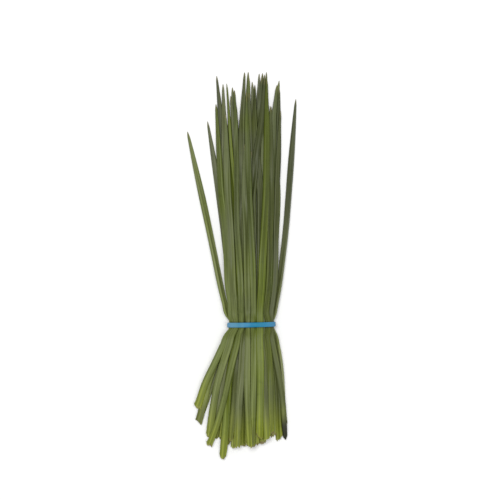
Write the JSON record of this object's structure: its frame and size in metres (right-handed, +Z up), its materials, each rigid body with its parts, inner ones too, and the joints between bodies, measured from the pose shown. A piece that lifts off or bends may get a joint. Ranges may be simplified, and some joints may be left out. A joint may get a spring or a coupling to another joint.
{
  "type": "chive bunch",
  "caption": "Flat bunch of long hollow chive leaves lying down, held near its cut ends by one elastic band; the leaves fan out on both sides of the band and taper to their tips.",
  "frame": {"origin": "on the surface that the bunch lies on, under the middle of the elastic band", "axes": "+Y along the leaves from the cut ends to the tips, +X across the bunch to the right as seen from above with the tips away, +Z up"},
  "size_m": [0.064, 0.2237, 0.0167],
  "materials": {
    "leaf_dark": "fresh green leaf, waxy and softly glossy",
    "leaf_mid": "fresh green leaf, waxy and softly glossy",
    "leaf_light": "fresh green leaf, waxy and softly glossy",
    "band": "satin light blue rubber"
  },
  "bodies": {
    "root": {"chive_leaf_01": "leaf_dark", "chive_leaf_02": "leaf_mid", "chive_leaf_03": "leaf_light", "chive_leaf_04": "leaf_dark", "chive_leaf_05": "leaf_mid", "chive_leaf_06": "leaf_light", "chive_leaf_07": "leaf_dark", "chive_leaf_08": "leaf_mid", "chive_leaf_09": "leaf_light", "chive_leaf_10": "leaf_dark", "chive_leaf_11": "leaf_mid", "chive_leaf_12": "leaf_light", "chive_leaf_13": "leaf_dark", "chive_leaf_14": "leaf_mid", "chive_leaf_15": "leaf_light", "chive_leaf_16": "leaf_dark", "chive_leaf_17": "leaf_mid", "chive_leaf_18": "leaf_light", "chive_leaf_19": "leaf_dark", "chive_leaf_20": "leaf_mid", "chive_leaf_21": "leaf_light", "chive_leaf_22": "leaf_dark", "chive_leaf_23": "leaf_mid", "chive_leaf_24": "leaf_light", "chive_leaf_25": "leaf_dark", "chive_leaf_26": "leaf_mid", "chive_leaf_27": "leaf_light", "chive_leaf_28": "leaf_dark", "chive_leaf_29": "leaf_mid", "chive_leaf_30": "leaf_light", "chive_leaf_31": "leaf_dark", "chive_leaf_32": "leaf_mid", "chive_leaf_33": "leaf_light", "chive_leaf_34": "leaf_dark", "chive_leaf_35": "leaf_mid", "chive_leaf_36": "leaf_light", "chive_leaf_37": "leaf_dark", "chive_leaf_38": "leaf_mid", "chive_leaf_39": "leaf_light", "chive_leaf_40": "leaf_dark", "chive_leaf_41": "leaf_mid", "chive_leaf_42": "leaf_light", "chive_leaf_43": "leaf_dark", "chive_leaf_44": "leaf_mid", "chive_leaf_45": "leaf_light", "chive_leaf_46": "leaf_dark", "chive_leaf_47": "leaf_mid", "chive_leaf_48": "leaf_light", "chive_leaf_49": "leaf_dark", "chive_leaf_50": "leaf_mid", "elastic_band": "band"}
  },
  "joints": []
}
